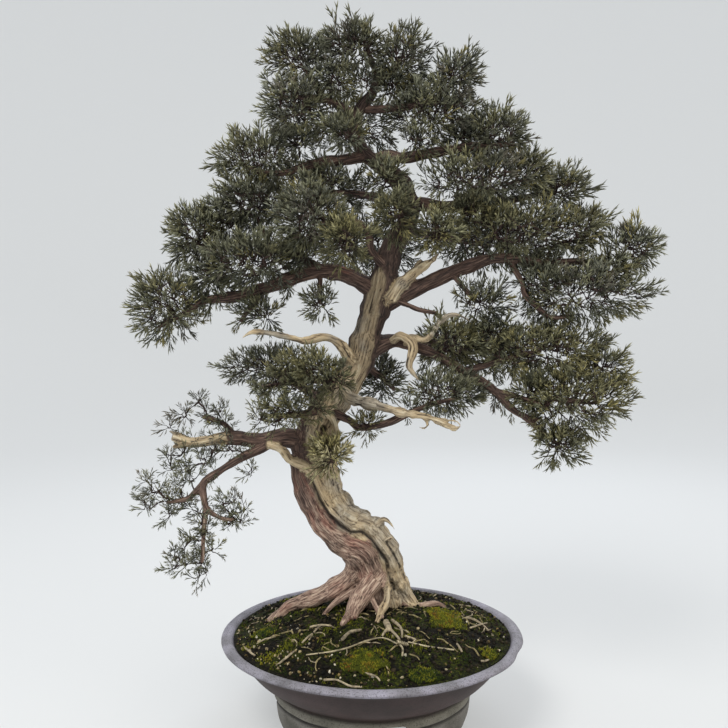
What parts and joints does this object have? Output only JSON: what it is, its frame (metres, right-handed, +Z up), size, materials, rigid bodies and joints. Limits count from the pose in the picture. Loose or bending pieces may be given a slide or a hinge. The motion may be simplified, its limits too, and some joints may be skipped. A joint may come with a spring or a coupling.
{
  "type": "shimpaku juniper bonsai",
  "caption": "Informal upright juniper bonsai with dead stubs, scale foliage pads, mossy soil mound and a round footed clay pot.",
  "frame": {"origin": "middle of the base of the whole bonsai's box, on the surface that the pot stands on", "axes": "+X to the right as seen from the front, +Y towards the back, +Z up"},
  "size_m": [0.5236, 0.3368, 0.6965],
  "materials": {
    "wood": "matte",
    "foliage": "matte",
    "soil": "matte",
    "moss": "matte",
    "pot": "matte",
    "anchor_wire": "matte",
    "drain_screen": "matte"
  },
  "bodies": {
    "root": {"anchor_wire": "anchor_wire", "drain_screen_left": "drain_screen", "drain_screen_right": "drain_screen", "foliage_back_centre": "foliage", "foliage_back_left": "foliage", "foliage_back_low_left": "foliage", "foliage_back_low_right": "foliage", "foliage_back_right": "foliage", "foliage_back_upper": "foliage", "foliage_behind_trunk": "foliage", "foliage_centre_front": "foliage", "foliage_centre_left": "foliage", "foliage_centre_right": "foliage", "foliage_centre_right_low": "foliage", "foliage_centre_upper": "foliage", "foliage_crown_far_right": "foliage", "foliage_crown_left_lower": "foliage", "foliage_crown_left_upper": "foliage", "foliage_crown_right": "foliage", "foliage_crown_top": "foliage", "foliage_front_tuft": "foliage", "foliage_left_far": "foliage", "foliage_left_main": "foliage", "foliage_left_mid": "foliage", "foliage_left_shoulder": "foliage", "foliage_left_under": "foliage", "foliage_left_under_inner": "foliage", "foliage_left_upper": "foliage", "foliage_low_right_bottom": "foliage", "foliage_low_right_inner_lower": "foliage", "foliage_low_right_inner_upper": "foliage", "foliage_low_right_outer": "foliage", "foliage_low_right_outer_upper": "foliage", "foliage_lower_left_hanging": "foliage", "foliage_lower_left_middle": "foliage", "foliage_lower_left_outer": "foliage", "foliage_lower_left_right": "foliage", "foliage_lower_left_top": "foliage", "foliage_mid_left": "foliage", "foliage_mid_left_lower": "foliage", "foliage_right_far_upper": "foliage", "foliage_right_lower": "foliage", "foliage_right_main": "foliage", "foliage_right_middle": "foliage", "foliage_right_shoulder": "foliage", "foliage_right_tip": "foliage", "foliage_right_under": "foliage", "foliage_right_upper": "foliage", "foliage_small_tuft": "foliage", "moss_back_left": "moss", "moss_front": "moss", "moss_front_right": "moss", "moss_left": "moss", "moss_right_edge": "moss", "moss_right_ridge": "moss", "pot": "pot", "soil": "soil", "tree_wood": "wood"}
  },
  "joints": []
}
